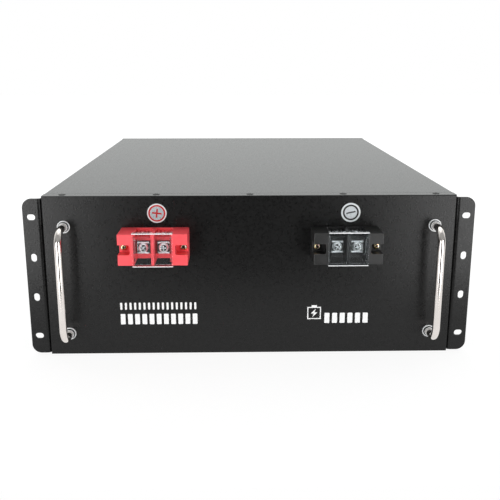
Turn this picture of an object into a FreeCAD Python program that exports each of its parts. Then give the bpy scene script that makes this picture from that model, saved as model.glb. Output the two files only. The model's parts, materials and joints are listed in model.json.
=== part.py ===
import FreeCAD, Part
import math
import os

# A 4U rack-mount lithium iron phosphate battery, 48 V class, as the pieces it comes apart into.
# Millimetres. +X is to the right of someone facing the front panel, +Y runs to the back and +Z is up.
# The origin is the centre of the case's bottom face.

V = FreeCAD.Vector

# ---- driving dimensions ----
RACK_UNIT = 44.45
EAR_SPAN = 482.6            # 19-inch rack width over both ears
SLOT_SPAN = 465.1           # between the two ears' columns of slots
CASE_W = 440.0
CASE_D = 600.0
CASE_H = 4 * RACK_UNIT - 0.8

TRAY_T = 1.5                # folded steel of the tray and the rear panel
COVER_T = 1.2
PANEL_T = 2.0
FOLD_R = 1.0                # outside radius of the case's folds
FLANGE_DEPTH = 14.0         # top and bottom returns of the front and rear panels
RETURN_DEPTH = 20.0         # side returns, inside the tray's walls
RETURN_BASE = 8.0
SEAM = 0.6                  # gap between a panel's top return and the cover
SKIRT_H = 14.0

FRONT = -CASE_D / 2
BACK = CASE_D / 2
TRAY_HALF = CASE_W / 2      # outer face of the tray's side walls
TRAY_TOP = CASE_H - COVER_T
WALL = TRAY_HALF - TRAY_T   # inner face of the tray's side walls
STRIP = TRAY_HALF - COVER_T # outer face of the set-in strips behind the cover's skirts
SHOULDER = CASE_H - SKIRT_H - SEAM
LEDGE = 10.0

EAR_T = 2.0
EAR_H = 173.5
EAR_BASE = 0.5
EAR_SETBACK = 2.5           # ear's front face behind the front panel's face
EAR_LEG = 45.0
EAR_BEND_R = 5.0
EAR_CORNER_R = 10.0
SLOT_LENGTH = 9.0
SLOT_R = 3.2
SLOT_COUNT = 4
EAR_FRONT = FRONT + EAR_SETBACK
SLOT_MID = EAR_BASE + EAR_H / 2

HANDLE_X = 198.2
HANDLE_Z = (24.0, 144.0)
HANDLE_R = 4.0
HANDLE_REACH = 30.0         # panel face to the grip's centreline
HANDLE_BEND_R = 15.0
HANDLE_BOLT_R = 2.5

POLE_Z = 126.6
BLOCK_X = {"positive": -101.0, "negative": 101.0}
BLOCK_W = 72.0
BLOCK_H = 33.0
BLOCK_D = 34.0
BLOCK_WALL = 3.0
POLE_PITCH = 21.0
PARTITION = 3.0
BAY_W = POLE_PITCH - PARTITION
PEDESTAL_D = 18.5
PEDESTAL_H = 20.0
RIB_COUNT = 4
RIB_PITCH = 4.4
RIB_T = 1.4
RIB_H = 3.6
NOTCH_H = 10.8
NOTCH_W = 12.8
NOTCH_FLOOR = 19.0          # height of the mounting screws' seat above the panel
BLOCK_SCREW_X = 31.0
BOSS_W = 38.0
BOSS_H = 18.0
BOSS_DEPTH = 8.0            # the block's rear boss, measured from the panel's face
STUD_R = 4.0
STUD_END = 19.0             # stud's rear end behind the panel's face
PLATE_W = 13.5
PLATE_H = 13.5
PLATE_T = 2.0
POCKET_GAP = 0.8            # round a pole plate, in the pedestal's face
POCKET_SLOT = 6.0           # depth of the slots beside a pole plate
CLAMP_W = 12.4
CLAMP_H = 12.4
CLAMP_T = 1.4
LIP_T = 0.7                 # a clamp plate's turned edges
POLE_SCREW_R = 2.5
FIT = 0.05                  # radial clearance of a shank in its hole
POLE_HEAD_R = 5.0
POLE_HEAD_T = 3.8
POLE_SCREW_L = 12.0

COVER_PLATE_W = 41.5
COVER_PLATE_H = 35.4
COVER_PLATE_T = 1.5
COVER_GAP = 0.2
COVER_LEG = 6.5             # how far the legs reach into the bays
COVER_LEG_T = 1.2
COVER_LEG_H = 24.0
COVER_LIP = 6.2              # how far the lips lie over the block's top and bottom faces
COVER_LIP_T = 1.0

LABEL_R = 10.35
LABEL_T = 0.3
LABEL_Z = 158.3
LABEL_X = {"plus": -98.9, "minus": 107.3}

CELL_W = 173.0
CELL_T = 48.5
CELL_H = 125.0
CELL_GAP = 1.5
CELLS_PER_ROW = 8
ROW_GAP = 10.0
SHEET_T = 1.5
CELL_PITCH = CELL_T + CELL_GAP
CELL_BASE = TRAY_T + SHEET_T
CELL_TOP = CELL_BASE + CELL_H
ROW_START = -140.0
ROW_LENGTH = CELLS_PER_ROW * CELL_PITCH - CELL_GAP
ROW_END = ROW_START + ROW_LENGTH
ROW_X = ROW_GAP / 2 + CELL_W / 2
TERMINAL_X = 55.0           # a cell's terminals either side of its middle
TERMINAL_T = 3.0
TERMINAL_STUD_H = 14.0
LINK_T = 2.5
LINK_W = 20.0
LINK_Z = CELL_TOP + TERMINAL_T
M6_R = 3.0
M6_NUT_R = 10.0 / math.sqrt(3)
M6_NUT_H = 5.0

END_PLATE_T = 4.0
END_PLATE_HALF = 195.0
END_PLATE_H = 112.0
END_FOOT = 22.0
ROD_X = 187.0
ROD_Z = (35.0, 95.0)
FOOT_STUD_X = (-150.0, -50.0, 50.0, 150.0)

BMS_X = (-15.0, 190.0)
BMS_Y = (-272.0, -178.0)
BMS_FIN_Z = 13.5
BMS_PLATE_Z = 24.0
BMS_PLATE_T = 4.0
BMS_BOARD_Z = 31.0
BMS_BOARD_T = 1.6
POST_X = (30.0, 160.0)
POST_Y = -205.0
POST_H = 12.0

FUSE_X = -140.0
FUSE_Y = (-265.0, -190.0)
FUSE_Z = 22.0

CABLE_R = 5.5
LUG_T = 2.5


# ---- helpers ----
def box(x0, x1, y0, y1, z0, z1):
    """A block from its two limits along each axis, in either order."""
    low = V(min(x0, x1), min(y0, y1), min(z0, z1))
    return Part.makeBox(abs(x1 - x0), abs(y1 - y0), abs(z1 - z0), low)


def slab(x, width, y0, y1, z, height):
    """A block centred on x and z."""
    return box(x - width / 2, x + width / 2, y0, y1, z - height / 2, z + height / 2)


def pad(x, width, y, length, z0, z1):
    """A block centred on x and y."""
    return box(x - width / 2, x + width / 2, y - length / 2, y + length / 2, z0, z1)


def rod(radius, start, end):
    """A round bar between two points."""
    start, end = V(*start), V(*end)
    return Part.makeCylinder(radius, (end - start).Length, start, end - start)


def hexagon(corner_r, start, end):
    """A hexagonal prism between two points, such as a nut's or a bolt head's outline."""
    start, end = V(*start), V(*end)
    axis = (end - start).normalize()
    across = V(0, 0, 1) if abs(axis.z) < 0.5 else V(1, 0, 0)
    side = axis.cross(across)
    turns = [math.radians(60 * k) for k in range(7)]
    corners = [start + across * (corner_r * math.cos(a)) + side * (corner_r * math.sin(a)) for a in turns]
    face = Part.Face(Part.makePolygon(corners))
    return face.extrude(end - start)


def joined(shapes):
    """One solid from overlapping or touching ones."""
    shapes = list(shapes)
    return shapes[0].multiFuse(shapes[1:]).removeSplitter()


def less(shape, tools):
    """The shape with every tool cut away."""
    tools = list(tools)
    return shape.cut(Part.makeCompound(tools)) if tools else shape


def rounded(shape, radius, wanted):
    """Fillets the straight edges whose midpoint and direction pass the test."""
    edges = []
    for edge in shape.Edges:
        if not isinstance(edge.Curve, Part.Line):
            continue
        middle = (edge.Vertexes[0].Point + edge.Vertexes[-1].Point) / 2
        run = (edge.Vertexes[-1].Point - edge.Vertexes[0].Point).normalize()
        if wanted(middle, run):
            edges.append(edge)
    return shape.makeFillet(radius, edges)


def along(run, axis):
    return abs(getattr(run, axis)) > 0.999


def near(value, target):
    return abs(value - target) < 0.01


def turned(profile, centre, axis):
    """A ring from (radius, distance along axis) corners, turned about the axis through centre."""
    centre, axis = V(*centre), V(*axis)
    out = V(1, 0, 0) if abs(axis.x) < 0.5 else V(0, 0, 1)
    corners = [centre + out * r + axis * d for r, d in profile]
    return Part.Face(Part.makePolygon(corners + corners[:1])).revolve(centre, axis, 360)


def tube_path(points, radius):
    """A wire of straight runs joined by tangent arcs, each of the given radius or what its runs allow."""
    points = [V(*p) for p in points]
    edges = []
    here = points[0]
    for before, corner, after in zip(points, points[1:], points[2:]):
        back = (before - corner).normalize()
        ahead = (after - corner).normalize()
        half = back.getAngle(ahead) / 2
        shorter = min((before - corner).Length, (after - corner).Length)
        cut = min(radius / math.tan(half), 0.48 * shorter)
        reach = cut * math.tan(half)
        first, last = corner + back * cut, corner + ahead * cut
        bisector = (back + ahead).normalize()
        middle = corner + bisector * (math.hypot(cut, reach) - reach)
        edges.append(Part.LineSegment(here, first).toShape())
        edges.append(Part.Arc(first, middle, last).toShape())
        here = last
    edges.append(Part.LineSegment(here, points[-1]).toShape())
    return Part.Wire(edges)


def tube(points, radius, bend_r):
    """A round bar or cable along a path with rounded corners."""
    path = tube_path(points, bend_r)
    start = V(*points[0])
    section = Part.Wire(Part.makeCircle(radius, start, V(*points[1]) - start))
    return path.makePipeShell([section], True, False)


def cross_recess(top, inward, size, depth):
    """The cutter for a cross recess in a screw head, down from the head's middle."""
    x, y, z = top
    dx, dy, dz = inward
    slim = size * 0.28
    arms = []
    for a, b in ((size, slim), (slim, size)):
        if dz:
            arms.append(pad(x, a, y, b, z - dz, z + dz * depth))
        elif dy:
            arms.append(slab(x, a, y - dy, y + dy * depth, z, b))
        else:
            arms.append(box(x - dx, x + dx * depth, y - a / 2, y + a / 2, z - b / 2, z + b / 2))
    return arms


def screw(seat, inward, shank_r, length, head_r, head_t, countersunk=False):
    """A cross-head screw. seat is on its axis, at the head's bearing plane or a countersunk head's top."""
    seat, inward = V(*seat), V(*inward)
    if countersunk:
        head_top = seat
        profile = [(0, 0), (head_r, 0), (shank_r, head_t), (shank_r, length), (0, length)]
    else:
        head_top = seat - inward * head_t
        dome = 0.3 * head_t
        profile = [(0, -head_t), (0.72 * head_r, -head_t), (head_r, dome - head_t), (head_r, 0),
                   (shank_r, 0), (shank_r, length), (0, length)]
    body = turned(profile, tuple(seat), tuple(inward))
    return less(body, cross_recess(tuple(head_top), tuple(inward), 1.1 * head_r, 0.55 * head_t))


def cs_hole(seat, inward, shank_r, through, head_r, head_t):
    """The cutter for a countersunk hole."""
    hole_r = shank_r + FIT
    profile = [(0, -0.5), (head_r, -0.5), (head_r, 0), (hole_r, head_t), (hole_r, through), (0, through)]
    return turned(profile, seat, inward)


# ---- places shared by several pieces ----
def spread(count, pitch, middle=0.0):
    return [middle + pitch * (k - (count - 1) / 2) for k in range(count)]


SIDES = (-1, 1)
M4_R = 2.0
CASE_HEAD_R = 3.8
CASE_HEAD_T = 1.3
CS_HEAD_R = 4.0
CS_HEAD_T = 1.9
BASE_HEAD_R = 3.4           # the tray's floor is thin, so its screws have small heads
BASE_HEAD_T = 1.3
CS_SINK = 0.1               # a countersunk head's top lies this far below the surface
TOP_SCREW_X = spread(5, 100.0)
TOP_SCREW_Y = FRONT + 10.0  # only the front edge is screwed; the rear lip hooks under its return
SKIRT_SCREW_Y = (-230.0, -65.0, 100.0, 265.0)
SKIRT_SCREW_Z = CASE_H - 7.0
REAR_SCREW_Z = (30.0, 88.0, 146.0)
REAR_SCREW_INSET = 8.0
BASE_SCREW_X = spread(5, 90.0)
BASE_SCREW_INSET = 9.0
EAR_SCREW_Z = (25.0, 65.0, 110.0, 150.0)
EAR_SCREW_Y = FRONT + 14.0
EAR_REAR_SCREW_Y = FRONT + 38.0
EAR_REAR_SCREW_Z = (45.0, 130.0)
SLOT_Z = spread(SLOT_COUNT, RACK_UNIT, SLOT_MID)


def ear_screw_places(side):
    """Centre of each screw that holds an ear, on the ear leg's outer face."""
    x = side * (TRAY_HALF + EAR_T)
    front_row = [(x, EAR_SCREW_Y, z) for z in EAR_SCREW_Z]
    return front_row + [(x, EAR_REAR_SCREW_Y, z) for z in EAR_REAR_SCREW_Z]


def block_poles(sign):
    """X of a terminal block's left and right poles."""
    return {"left": BLOCK_X[sign] - POLE_PITCH / 2, "right": BLOCK_X[sign] + POLE_PITCH / 2}


def cell_middles():
    return [ROW_START + CELL_T / 2 + k * CELL_PITCH for k in range(CELLS_PER_ROW)]


# ---- case ----
def skirt_span():
    """Where the cover's skirts start and end along Y."""
    return FRONT + EAR_SETBACK + EAR_LEG + 2, BACK - FLANGE_DEPTH - SEAM


def side_hole(side, y, z, radius=M4_R + FIT):
    """The cutter for a hole through a side of the case."""
    return rod(radius, (side * (WALL - 4), y, z), (side * (TRAY_HALF + 1), y, z))


def tray_side(side):
    """What stands on a side wall: full height at both ends, and set in behind the cover's skirt."""
    start, end = skirt_span()
    low, high = FRONT + PANEL_T, BACK - TRAY_T
    inner = STRIP - TRAY_T
    made = []
    for y0, y1 in ((low, start - SEAM), (end + SEAM, high)):
        made.append(box(side * WALL, side * TRAY_HALF, y0, y1, SHOULDER - 1, TRAY_TOP))
        made.append(box(side * inner, side * WALL, y0, y1, SHOULDER - TRAY_T, SHOULDER))
    made.append(box(side * inner, side * TRAY_HALF, start - SEAM, end + SEAM, SHOULDER - TRAY_T, SHOULDER))
    made.append(box(side * inner, side * STRIP, start - SEAM, end + SEAM, SHOULDER - TRAY_T, TRAY_TOP))
    made.append(box(side * inner, side * (inner - LEDGE), start, BACK - RETURN_DEPTH - 1,
                    TRAY_TOP - TRAY_T, TRAY_TOP))
    return made


def chassis_tray():
    low, high = FRONT + PANEL_T, BACK - TRAY_T
    tray = less(box(-TRAY_HALF, TRAY_HALF, low, high, 0, SHOULDER),
                [box(-WALL, WALL, low - 1, high + 1, TRAY_T, SHOULDER + 1)])
    tray = rounded(tray, FOLD_R, lambda m, r: along(r, "y") and near(m.z, 0))
    studs = [rod(M6_R, (x, y, TRAY_T), (x, y, TRAY_T + 14)) for x in FOOT_STUD_X for y in foot_stud_rows()]
    tray = joined([tray] + tray_side(-1) + tray_side(1) + studs)
    holes = []
    for s in SIDES:
        holes += [side_hole(s, y, z) for _, y, z in ear_screw_places(s)]
        holes += [side_hole(s, y, SKIRT_SCREW_Z) for y in SKIRT_SCREW_Y]
        holes += [side_hole(s, BACK - REAR_SCREW_INSET, z) for z in REAR_SCREW_Z]
    for x in BASE_SCREW_X:
        for y in (FRONT + BASE_SCREW_INSET, BACK - BASE_SCREW_INSET):
            holes.append(cs_hole((x, y, 0), (0, 0, 1), M4_R, 6, BASE_HEAD_R, BASE_HEAD_T))
    over = FLANGE_DEPTH + SEAM
    holes.append(box(-CASE_W / 2, CASE_W / 2, FRONT, FRONT + over, CASE_H - PANEL_T, CASE_H))
    holes.append(box(-CASE_W / 2, CASE_W / 2, BACK, BACK - over, CASE_H - TRAY_T, CASE_H))
    return less(tray, holes)


def top_screw_holes(top):
    """Cutters for the holes that the top screws pass through, up to height top."""
    return [rod(M4_R + FIT, (x, TOP_SCREW_Y, CASE_H - 6), (x, TOP_SCREW_Y, top)) for x in TOP_SCREW_X]


def end_panel(face, inward, thickness):
    """A flat panel with returns folded inwards along the top, the bottom and both sides."""
    inner = face + inward * thickness
    reach = face + inward * FLANGE_DEPTH
    plate = box(-CASE_W / 2, CASE_W / 2, face, inner, 0, CASE_H)
    top = box(-CASE_W / 2, CASE_W / 2, face, reach, CASE_H - thickness, CASE_H)
    bottom = box(-WALL + 8, WALL - 8, face, reach, TRAY_T, TRAY_T + thickness)
    sides = [box(s * WALL, s * (WALL - thickness), face, face + inward * RETURN_DEPTH,
                 RETURN_BASE, SHOULDER - 2 * TRAY_T) for s in SIDES]
    panel = joined([plate, top, bottom] + sides)
    panel = rounded(panel, FOLD_R, lambda m, r: near(m.y, face) and (along(r, "z") or near(m.z, CASE_H)))
    hole_r = M4_R + FIT
    base_y = face + inward * BASE_SCREW_INSET
    holes = [rod(hole_r, (x, base_y, TRAY_T - 0.5), (x, base_y, TRAY_T + 3)) for x in BASE_SCREW_X]
    return less(panel, holes)


def front_panel():
    panel = end_panel(FRONT, 1, PANEL_T)
    holes = top_screw_holes(CASE_H + 1)
    for s in SIDES:
        holes += [side_hole(s, y, z) for _, y, z in ear_screw_places(s) if near(y, EAR_SCREW_Y)]
        for z in HANDLE_Z:
            x = s * HANDLE_X
            holes.append(rod(HANDLE_BOLT_R + FIT, (x, FRONT - 1, z), (x, FRONT + 4, z)))
    for middle in BLOCK_X.values():
        holes.append(slab(middle, BOSS_W + 0.6, FRONT - 1, FRONT + 4, POLE_Z, BOSS_H + 0.6))
        for s in SIDES:
            x = middle + s * BLOCK_SCREW_X
            holes.append(rod(M4_R + FIT, (x, FRONT - 1, POLE_Z), (x, FRONT + 4, POLE_Z)))
    return less(panel, holes)


def rear_panel():
    panel = end_panel(BACK, -1, TRAY_T)
    return less(panel, [side_hole(s, BACK - REAR_SCREW_INSET, z) for s in SIDES for z in REAR_SCREW_Z])


def top_cover():
    start = FRONT + FLANGE_DEPTH + SEAM
    skirt_start, end = skirt_span()
    plate = box(-CASE_W / 2, CASE_W / 2, start, end, CASE_H - COVER_T, CASE_H)
    skirts = [box(s * STRIP, s * CASE_W / 2, skirt_start, end, CASE_H - SKIRT_H, CASE_H) for s in SIDES]
    lips = []
    lip_half = WALL - 5
    for face, thickness, edge, inward in ((FRONT, PANEL_T, start, 1), (BACK, TRAY_T, end, -1)):
        top = CASE_H - thickness
        lips.append(box(-lip_half, lip_half, face + inward * (thickness + 0.5), edge + inward * 2,
                        top - COVER_T, top))
        lips.append(box(-lip_half, lip_half, edge, edge + inward * 2, top - COVER_T, CASE_H))
    cover = joined([plate] + skirts + lips)
    cover = rounded(cover, FOLD_R, lambda m, r: along(r, "y") and near(m.z, CASE_H)
                    and near(abs(m.x), CASE_W / 2))
    holes = top_screw_holes(CASE_H - 1)
    holes += [side_hole(s, y, SKIRT_SCREW_Z) for s in SIDES for y in SKIRT_SCREW_Y]
    return less(cover, holes)


def case_screws():
    """Low-head M4 screws: along the front panel's top, the cover's skirts and the rear panel's sides."""
    made = []
    for x in TOP_SCREW_X:
        made.append(screw((x, TOP_SCREW_Y, CASE_H), (0, 0, -1), M4_R, 6, CASE_HEAD_R, CASE_HEAD_T))
    for s in SIDES:
        for y in SKIRT_SCREW_Y:
            seat = (s * CASE_W / 2, y, SKIRT_SCREW_Z)
            made.append(screw(seat, (-s, 0, 0), M4_R, 6, CASE_HEAD_R, CASE_HEAD_T))
        for z in REAR_SCREW_Z:
            seat = (s * TRAY_HALF, BACK - REAR_SCREW_INSET, z)
            made.append(screw(seat, (-s, 0, 0), M4_R, 6, CASE_HEAD_R, CASE_HEAD_T))
    return made


def flush_screw(place, inward, length, head_r, head_t):
    """A countersunk M4 screw in a hole from cs_hole with the same head sizes."""
    seat = tuple(V(*place) + V(*inward) * CS_SINK)
    return screw(seat, inward, M4_R, length, head_r - 2 * CS_SINK, head_t - CS_SINK, countersunk=True)


def base_screws():
    """Countersunk screws under the case, flush with its bottom."""
    return [flush_screw((x, y, 0), (0, 0, 1), 6, BASE_HEAD_R, BASE_HEAD_T)
            for x in BASE_SCREW_X for y in (FRONT + BASE_SCREW_INSET, BACK - BASE_SCREW_INSET)]


# ---- rack ears ----
def slot_cutter(x, z, upright):
    """A round-ended slot through an ear, level or upright."""
    half = SLOT_LENGTH / 2 - SLOT_R
    y0, y1 = EAR_FRONT - 1, EAR_FRONT + EAR_T + 1
    dx, dz = (0, half) if upright else (half, 0)
    ends = [rod(SLOT_R, (x + k * dx, y0, z + k * dz), (x + k * dx, y1, z + k * dz)) for k in SIDES]
    wide, tall = (SLOT_R, half) if upright else (half, SLOT_R)
    return joined(ends + [box(x - wide, x + wide, y0, y1, z - tall, z + tall)])


def rack_ear(side):
    inner, outer = side * TRAY_HALF, side * EAR_SPAN / 2
    top = EAR_BASE + EAR_H
    plate = box(inner, outer, EAR_FRONT, EAR_FRONT + EAR_T, EAR_BASE, top)
    leg = box(inner, side * (TRAY_HALF + EAR_T), EAR_FRONT, EAR_FRONT + EAR_LEG, EAR_BASE, top)
    ear = joined([plate, leg])
    ear = rounded(ear, EAR_BEND_R, lambda m, r: along(r, "z") and near(m.x, inner) and near(m.y, EAR_FRONT))
    ear = rounded(ear, EAR_BEND_R - EAR_T, lambda m, r: along(r, "z") and near(m.y, EAR_FRONT + EAR_T)
                  and near(m.x, side * (TRAY_HALF + EAR_T)))
    ear = rounded(ear, EAR_CORNER_R, lambda m, r: along(r, "y") and near(m.x, outer))
    ear = rounded(ear, 6.0, lambda m, r: along(r, "x") and near(m.y, EAR_FRONT + EAR_LEG))
    cuts = [slot_cutter(side * SLOT_SPAN / 2, z, k in (1, 2)) for k, z in enumerate(SLOT_Z)]
    cuts += [cs_hole(p, (-side, 0, 0), M4_R, 4, CS_HEAD_R, CS_HEAD_T) for p in ear_screw_places(side)]
    return less(ear, cuts)


def ear_screws():
    return [flush_screw(place, (-s, 0, 0), 8, CS_HEAD_R, CS_HEAD_T)
            for s in SIDES for place in ear_screw_places(s)]


# ---- carrying handles ----
def handle(side):
    x = side * HANDLE_X
    low, high = HANDLE_Z
    grip_y = FRONT - HANDLE_REACH
    corners = [(x, FRONT, low), (x, grip_y, low), (x, grip_y, high), (x, FRONT, high)]
    bar = tube(corners, HANDLE_R, HANDLE_BEND_R)
    taps = [rod(HANDLE_BOLT_R, (x, FRONT + 1, z), (x, FRONT - 12, z)) for z in HANDLE_Z]
    return less(bar, taps)


def handle_ferrules():
    """Stepped round collars where the handles meet the panel."""
    bore = HANDLE_R + FIT
    profile = [(bore, 0), (6.8, 0), (6.8, 0.9), (6.3, 1.5), (5.4, 1.5), (5.4, 3.0), (5.0, 3.5), (bore, 3.5)]
    return [turned(profile, (s * HANDLE_X, FRONT, z), (0, -1, 0)) for s in SIDES for z in HANDLE_Z]


def handle_bolts():
    """M5 flange bolts from inside the panel into the handles' tapped ends."""
    made = []
    for s in SIDES:
        for z in HANDLE_Z:
            x, seat = s * HANDLE_X, FRONT + PANEL_T
            made.append(joined([rod(HANDLE_BOLT_R - FIT, (x, seat, z), (x, FRONT - 10, z)),
                                rod(5.9, (x, seat, z), (x, seat + 1.2, z)),
                                hexagon(8 / math.sqrt(3), (x, seat + 1.2, z), (x, seat + 5, z))]))
    return made


# ---- terminal blocks ----
def terminal_block(sign):
    """The moulded housing: two bays open to the front, top and bottom, and a notched lug at each end."""
    middle = BLOCK_X[sign]
    body = slab(middle, BLOCK_W, FRONT - BLOCK_D, FRONT, POLE_Z, BLOCK_H)
    body = rounded(body, 0.8, lambda m, r: along(r, "y") or near(m.y, FRONT - BLOCK_D))
    cuts = []
    for x in block_poles(sign).values():
        cuts.append(slab(x, BAY_W, FRONT - BLOCK_D - 1, FRONT - BLOCK_WALL, POLE_Z, BLOCK_H + 2))
    for s in SIDES:
        end = middle + s * BLOCK_W / 2
        notch = box(end + s, end - s * NOTCH_W, FRONT - BLOCK_D - 1, FRONT - NOTCH_FLOOR,
                    POLE_Z - NOTCH_H / 2, POLE_Z + NOTCH_H / 2)
        inner = end - s * NOTCH_W
        cuts.append(rounded(notch, 2.0, lambda m, r, inner=inner: along(r, "y") and near(m.x, inner)))
        screw_x = middle + s * BLOCK_SCREW_X
        cuts.append(rod(M4_R + FIT, (screw_x, FRONT - BLOCK_D, POLE_Z), (screw_x, FRONT + 1, POLE_Z)))
    boss = slab(middle, BOSS_W, FRONT - 1, FRONT + BOSS_DEPTH, POLE_Z, BOSS_H)
    body = joined([less(body, cuts), boss])
    start, end = FRONT - BLOCK_WALL - 1, FRONT + BOSS_DEPTH + 1
    return less(body, [rod(STUD_R + FIT, (x, start, POLE_Z), (x, end, POLE_Z))
                       for x in block_poles(sign).values()])


def pole_seats(sign):
    """The seat in each bay that its pole plate stands on, with four anti-tracking ribs along its top."""
    made = []
    for x in block_poles(sign).values():
        top = POLE_Z + PEDESTAL_H / 2
        seat = slab(x, BAY_W, FRONT - PEDESTAL_D, FRONT - BLOCK_WALL, POLE_Z, PEDESTAL_H)
        ribs = [box(rib - RIB_T / 2, rib + RIB_T / 2, FRONT - 13, FRONT - BLOCK_WALL, top - 1, top + RIB_H)
                for rib in spread(RIB_COUNT, RIB_PITCH, x)]
        bore = rod(STUD_R + FIT, (x, FRONT - PEDESTAL_D - 1, POLE_Z), (x, FRONT, POLE_Z))
        made.append(less(joined([seat] + ribs), [bore] + plate_pocket(x)))
    return made


def plate_pocket(x):
    """The cutters for a shallow pocket behind a pole plate, with a deep slot down each side."""
    face = FRONT - PEDESTAL_D
    height = PLATE_H + 2 * POCKET_GAP
    slot_w = (BAY_W - PLATE_W) / 2 + 0.5
    slots = [slab(x + s * (BAY_W - slot_w) / 2, slot_w, face, face + POCKET_SLOT, POLE_Z, height)
             for s in SIDES]
    return [slab(x, BAY_W, face - 1, face + 1, POLE_Z, height)] + slots


def pole_studs(sign):
    """Each pole is one machined piece: a square plate in front, a stud behind, tapped for its screw."""
    made = []
    for x in block_poles(sign).values():
        seat = FRONT - PEDESTAL_D + 1
        plate = slab(x, PLATE_W, pole_face(), seat, POLE_Z, PLATE_H)
        plate = rounded(plate, 0.8, lambda m, r: along(r, "y"))
        stud = rod(STUD_R, (x, seat - 1, POLE_Z), (x, FRONT + STUD_END, POLE_Z))
        tap = rod(POLE_SCREW_R + FIT, (x, pole_face() - 1, POLE_Z), (x, pole_face() + 14, POLE_Z))
        made.append(less(joined([plate, stud]), [tap]))
    return made


def pole_face():
    """Y of the pole plates' front face."""
    return FRONT - PEDESTAL_D - PLATE_T


def clamp_washer(x):
    """A square clamp plate with its upper and lower edges turned forward, loose on the pole screw."""
    face = pole_face()
    plate = slab(x, CLAMP_W, face - CLAMP_T, face, POLE_Z, CLAMP_H)
    lips = [slab(x, CLAMP_W, face - CLAMP_T - 1.0, face - CLAMP_T, POLE_Z + s * (CLAMP_H - LIP_T) / 2, LIP_T)
            for s in SIDES]
    washer = joined([plate] + lips)
    washer = rounded(washer, 0.6, lambda m, r: along(r, "y") and near(abs(m.x - x), CLAMP_W / 2)
                     and near(abs(m.z - POLE_Z), CLAMP_H / 2))
    return less(washer, [rod(POLE_SCREW_R + 2 * FIT, (x, face - 4, POLE_Z), (x, face + 1, POLE_Z))])


def pole_screw(x):
    seat = (x, pole_face() - CLAMP_T, POLE_Z)
    return screw(seat, (0, 1, 0), POLE_SCREW_R, POLE_SCREW_L, POLE_HEAD_R, POLE_HEAD_T)


def terminal_cover(sign):
    """A clear plate lipped above and below, with two legs that spring against the bays' outer walls."""
    middle = BLOCK_X[sign]
    back = FRONT - BLOCK_D - COVER_GAP
    plate = slab(middle, COVER_PLATE_W, back - COVER_PLATE_T, back, POLE_Z, COVER_PLATE_H)
    leg_x = (POLE_PITCH + BAY_W - COVER_LEG_T) / 2 - 0.3
    legs = [slab(middle + s * leg_x, COVER_LEG_T, back - 0.5, back + COVER_LEG, POLE_Z, COVER_LEG_H)
            for s in SIDES]
    lip_z = (COVER_PLATE_H - COVER_LIP_T) / 2
    lips = [slab(middle, COVER_PLATE_W, back - COVER_PLATE_T, back + COVER_LIP,
                 POLE_Z + s * lip_z, COVER_LIP_T) for s in SIDES]
    return joined([plate] + legs + lips)


def block_screws():
    made = []
    for middle in BLOCK_X.values():
        for s in SIDES:
            seat = (middle + s * BLOCK_SCREW_X, FRONT - NOTCH_FLOOR, POLE_Z)
            made.append(screw(seat, (0, 1, 0), M4_R, NOTCH_FLOOR + PANEL_T + 5, 3.6, 3.0))
    return made


def block_nuts():
    made = []
    for middle in BLOCK_X.values():
        for s in SIDES:
            x, seat = middle + s * BLOCK_SCREW_X, FRONT + PANEL_T
            nut = hexagon(7 / math.sqrt(3), (x, seat, POLE_Z), (x, seat + 3.2, POLE_Z))
            made.append(less(nut, [rod(M4_R + FIT, (x, seat - 1, POLE_Z), (x, seat + 5, POLE_Z))]))
    return made


def output_busbar(sign):
    """A copper T that joins a block's two studs and takes the pack cable's lug below them."""
    middle = BLOCK_X[sign]
    near_y, far_y = FRONT + BOSS_DEPTH, FRONT + BOSS_DEPTH + 3
    bar = slab(middle, 40, near_y, far_y, POLE_Z, 16)
    tail = slab(middle, 18, near_y, far_y, POLE_Z - 25, 34)
    holes = [rod(STUD_R + FIT, (x, near_y - 1, POLE_Z), (x, far_y + 1, POLE_Z))
             for x in block_poles(sign).values()]
    holes.append(rod(M6_R + FIT, (middle, near_y - 1, lug_z()), (middle, far_y + 1, lug_z())))
    return less(joined([bar, tail]), holes)


def lug_z():
    """Z of the bolt that holds the pack cable on an output busbar."""
    return POLE_Z - 33


def output_nuts():
    """M8 nuts on the block studs."""
    made = []
    for sign in BLOCK_X:
        for x in block_poles(sign).values():
            start = FRONT + BOSS_DEPTH + 3
            nut = hexagon(13 / math.sqrt(3), (x, start, POLE_Z), (x, start + 6.5, POLE_Z))
            made.append(less(nut, [rod(STUD_R + FIT, (x, start - 1, POLE_Z), (x, start + 8, POLE_Z))]))
    return made


def polarity_label(mark):
    x = LABEL_X[mark]
    return rod(LABEL_R, (x, FRONT, LABEL_Z), (x, FRONT - LABEL_T, LABEL_Z))


# ---- cell block ----
def cells(side):
    made = []
    for y in cell_middles():
        x = side * ROW_X
        can = pad(x, CELL_W, y, CELL_T, CELL_BASE, CELL_TOP)
        can = rounded(can, 3.0, lambda m, r: along(r, "z"))
        can = rounded(can, 1.0, lambda m, r: near(m.z, CELL_TOP))
        made.append(less(can, [rod(8, (x, y, CELL_TOP - 0.5), (x, y, CELL_TOP + 1))]))
    return made


def terminal_places(side):
    """(x, y) of each terminal on a row: the inner one first, then the outer one, cell by cell."""
    return [(side * (ROW_X + k * TERMINAL_X), y) for y in cell_middles() for k in (-1, 1)]


def all_terminals():
    return terminal_places(-1) + terminal_places(1)


def cell_terminals():
    made = []
    for x, y in all_terminals():
        foot = rounded(pad(x, 24, y, 22, CELL_TOP, LINK_Z), 2.0, lambda m, r: along(r, "z"))
        made.append(joined([foot, rod(M6_R, (x, y, CELL_TOP), (x, y, CELL_TOP + TERMINAL_STUD_H))]))
    return made


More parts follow.
